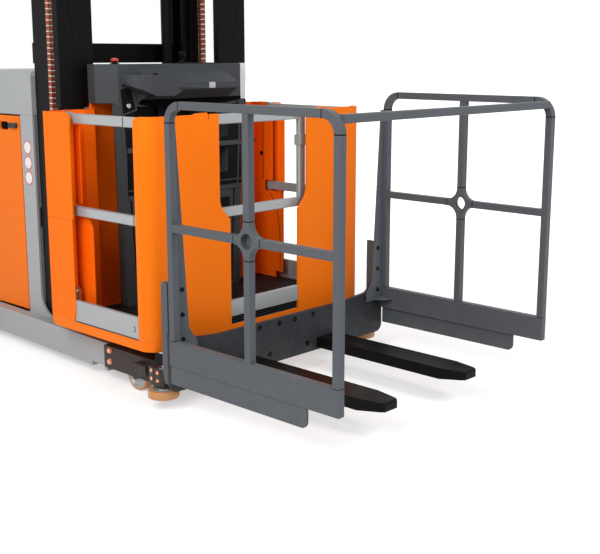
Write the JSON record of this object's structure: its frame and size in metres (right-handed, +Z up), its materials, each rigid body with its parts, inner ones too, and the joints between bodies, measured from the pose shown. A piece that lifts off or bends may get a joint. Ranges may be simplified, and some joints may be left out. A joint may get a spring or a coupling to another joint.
{
  "type": "order picker",
  "caption": "Man-up order picker with a lifting cab on a telescopic mast, side guard frames around the forks, side and front gates and guide rollers.",
  "frame": {"origin": "on the floor, midway along the whole truck and on its centre plane", "axes": "+X towards the forks, +Y to the truck's left seen from behind, +Z up"},
  "size_m": [3.428, 1.606, 2.9],
  "materials": {
    "orange_paint": "semi-gloss powder coat",
    "chassis_grey": "satin paint",
    "silver_paint": "satin silver paint",
    "guard_grey": "satin powder coat",
    "mast_black": "satin black paint",
    "console_grey": "fine grain",
    "mat_black": "ribbed mat",
    "wheel_tan": "cast polyurethane",
    "rod_steel": "hard chrome",
    "bright_steel": "plated",
    "chain_copper": "oiled plates",
    "battery_grey": "plain",
    "motor_black": "cast"
  },
  "bodies": {
    "chassis": {"chassis_frame": "chassis_grey", "battery_block": "battery_grey", "rear_hood": "chassis_grey", "top_cover": "chassis_grey", "load_arms": "mast_black", "outer_mast": "mast_black", "lift_cylinders": "mast_black"},
    "steering_turret": {"drive_turret": "motor_black"},
    "drive_wheel_body": {"drive_wheel": "wheel_tan"},
    "inner_mast_body": {"inner_mast": "mast_black", "lift_rods": "rod_steel", "leaf_chains": "chain_copper"},
    "load_wheel_right_body": {"load_wheel_right": "wheel_tan"},
    "guide_roller_front_right_body": {"guide_roller_front_right": "wheel_tan"},
    "guide_roller_rear_right_body": {"guide_roller_rear_right": "wheel_tan"},
    "battery_door_right_body": {"battery_door_right": "orange_paint"},
    "side_gate_right_body": {"side_gate_right": "silver_paint"},
    "load_wheel_left_body": {"load_wheel_left": "wheel_tan"},
    "guide_roller_front_left_body": {"guide_roller_front_left": "wheel_tan"},
    "guide_roller_rear_left_body": {"guide_roller_rear_left": "wheel_tan"},
    "battery_door_left_body": {"battery_door_left": "orange_paint"},
    "side_gate_left_body": {"side_gate_left": "silver_paint"},
    "front_gate_body": {"front_gate": "silver_paint"},
    "cab": {"cab_floor": "orange_paint", "carriage": "mast_black", "console": "console_grey", "floor_mat": "mat_black", "fork_carriage": "guard_grey", "fork_left": "mast_black", "fork_right": "mast_black", "front_panel_left": "orange_paint", "front_panel_right": "orange_paint", "gate_hinges": "bright_steel", "gate_stops": "silver_paint", "guard_cross_left": "guard_grey", "guard_cross_right": "guard_grey", "guard_hoop_left": "guard_grey", "guard_hoop_right": "guard_grey", "guard_tie": "guard_grey", "kick_plates": "silver_paint", "overhead_guard": "mast_black", "rear_posts": "orange_paint", "rear_wall": "orange_paint", "side_brackets": "guard_grey", "toe_plates": "guard_grey"}
  },
  "joints": [
    {"name": "steering", "type": "hinge", "parent": "chassis", "child": "steering_turret", "pos_m": [-1.504, 0, 0.155], "axis": [0, 0, 1], "range_deg": [-90, 90]},
    {"name": "drive_wheel_spin", "type": "hinge", "parent": "steering_turret", "child": "drive_wheel_body", "pos_m": [-1.504, 0, 0.155], "axis": [0, 1, 0], "continuous": true},
    {"name": "load_wheel_spin_right", "type": "hinge", "parent": "chassis", "child": "load_wheel_right_body", "pos_m": [0.262, -0.625, 0.075], "axis": [0, 1, 0], "continuous": true},
    {"name": "guide_roller_front_spin_right", "type": "hinge", "parent": "chassis", "child": "guide_roller_front_right_body", "pos_m": [0.568, -0.728, 0.08], "axis": [0, 0, 1], "continuous": true},
    {"name": "guide_roller_rear_spin_right", "type": "hinge", "parent": "chassis", "child": "guide_roller_rear_right_body", "pos_m": [-1.384, -0.728, 0.08], "axis": [0, 0, 1], "continuous": true},
    {"name": "battery_door_swing_right", "type": "hinge", "parent": "chassis", "child": "battery_door_right_body", "pos_m": [-1.318, -0.558, 0.7], "axis": [0, 0, -1], "range_deg": [0, 110]},
    {"name": "side_gate_swing_right", "type": "hinge", "parent": "cab", "child": "side_gate_right_body", "pos_m": [-0.149, -0.705, 1], "axis": [0, 0, 1], "range_deg": [0, 75]},
    {"name": "load_wheel_spin_left", "type": "hinge", "parent": "chassis", "child": "load_wheel_left_body", "pos_m": [0.262, 0.625, 0.075], "axis": [0, 1, 0], "continuous": true},
    {"name": "guide_roller_front_spin_left", "type": "hinge", "parent": "chassis", "child": "guide_roller_front_left_body", "pos_m": [0.568, 0.728, 0.08], "axis": [0, 0, 1], "continuous": true},
    {"name": "guide_roller_rear_spin_left", "type": "hinge", "parent": "chassis", "child": "guide_roller_rear_left_body", "pos_m": [-1.384, 0.728, 0.08], "axis": [0, 0, 1], "continuous": true},
    {"name": "battery_door_swing_left", "type": "hinge", "parent": "chassis", "child": "battery_door_left_body", "pos_m": [-1.318, 0.558, 0.7], "axis": [0, 0, 1], "range_deg": [0, 110]},
    {"name": "side_gate_swing_left", "type": "hinge", "parent": "cab", "child": "side_gate_left_body", "pos_m": [-0.149, 0.705, 1], "axis": [0, 0, -1], "range_deg": [0, 75]},
    {"name": "front_gate_swing", "type": "hinge", "parent": "cab", "child": "front_gate_body", "pos_m": [0.465, 0.325, 1.1], "axis": [0, 0, -1], "range_deg": [0, 55]},
    {"name": "inner_mast_lift", "type": "slide", "parent": "chassis", "child": "inner_mast_body", "axis": [0, 0, 1], "range_m": [0, 1.65]},
    {"name": "cab_lift", "type": "slide", "parent": "inner_mast_body", "child": "cab", "axis": [0, 0, 1], "range_m": [0, 1.65], "deforming": ["leaf_chains"]}
  ],
  "couplings": [
    {"joint": "cab_lift", "follows": "inner_mast_lift", "ratio": 1}
  ]
}
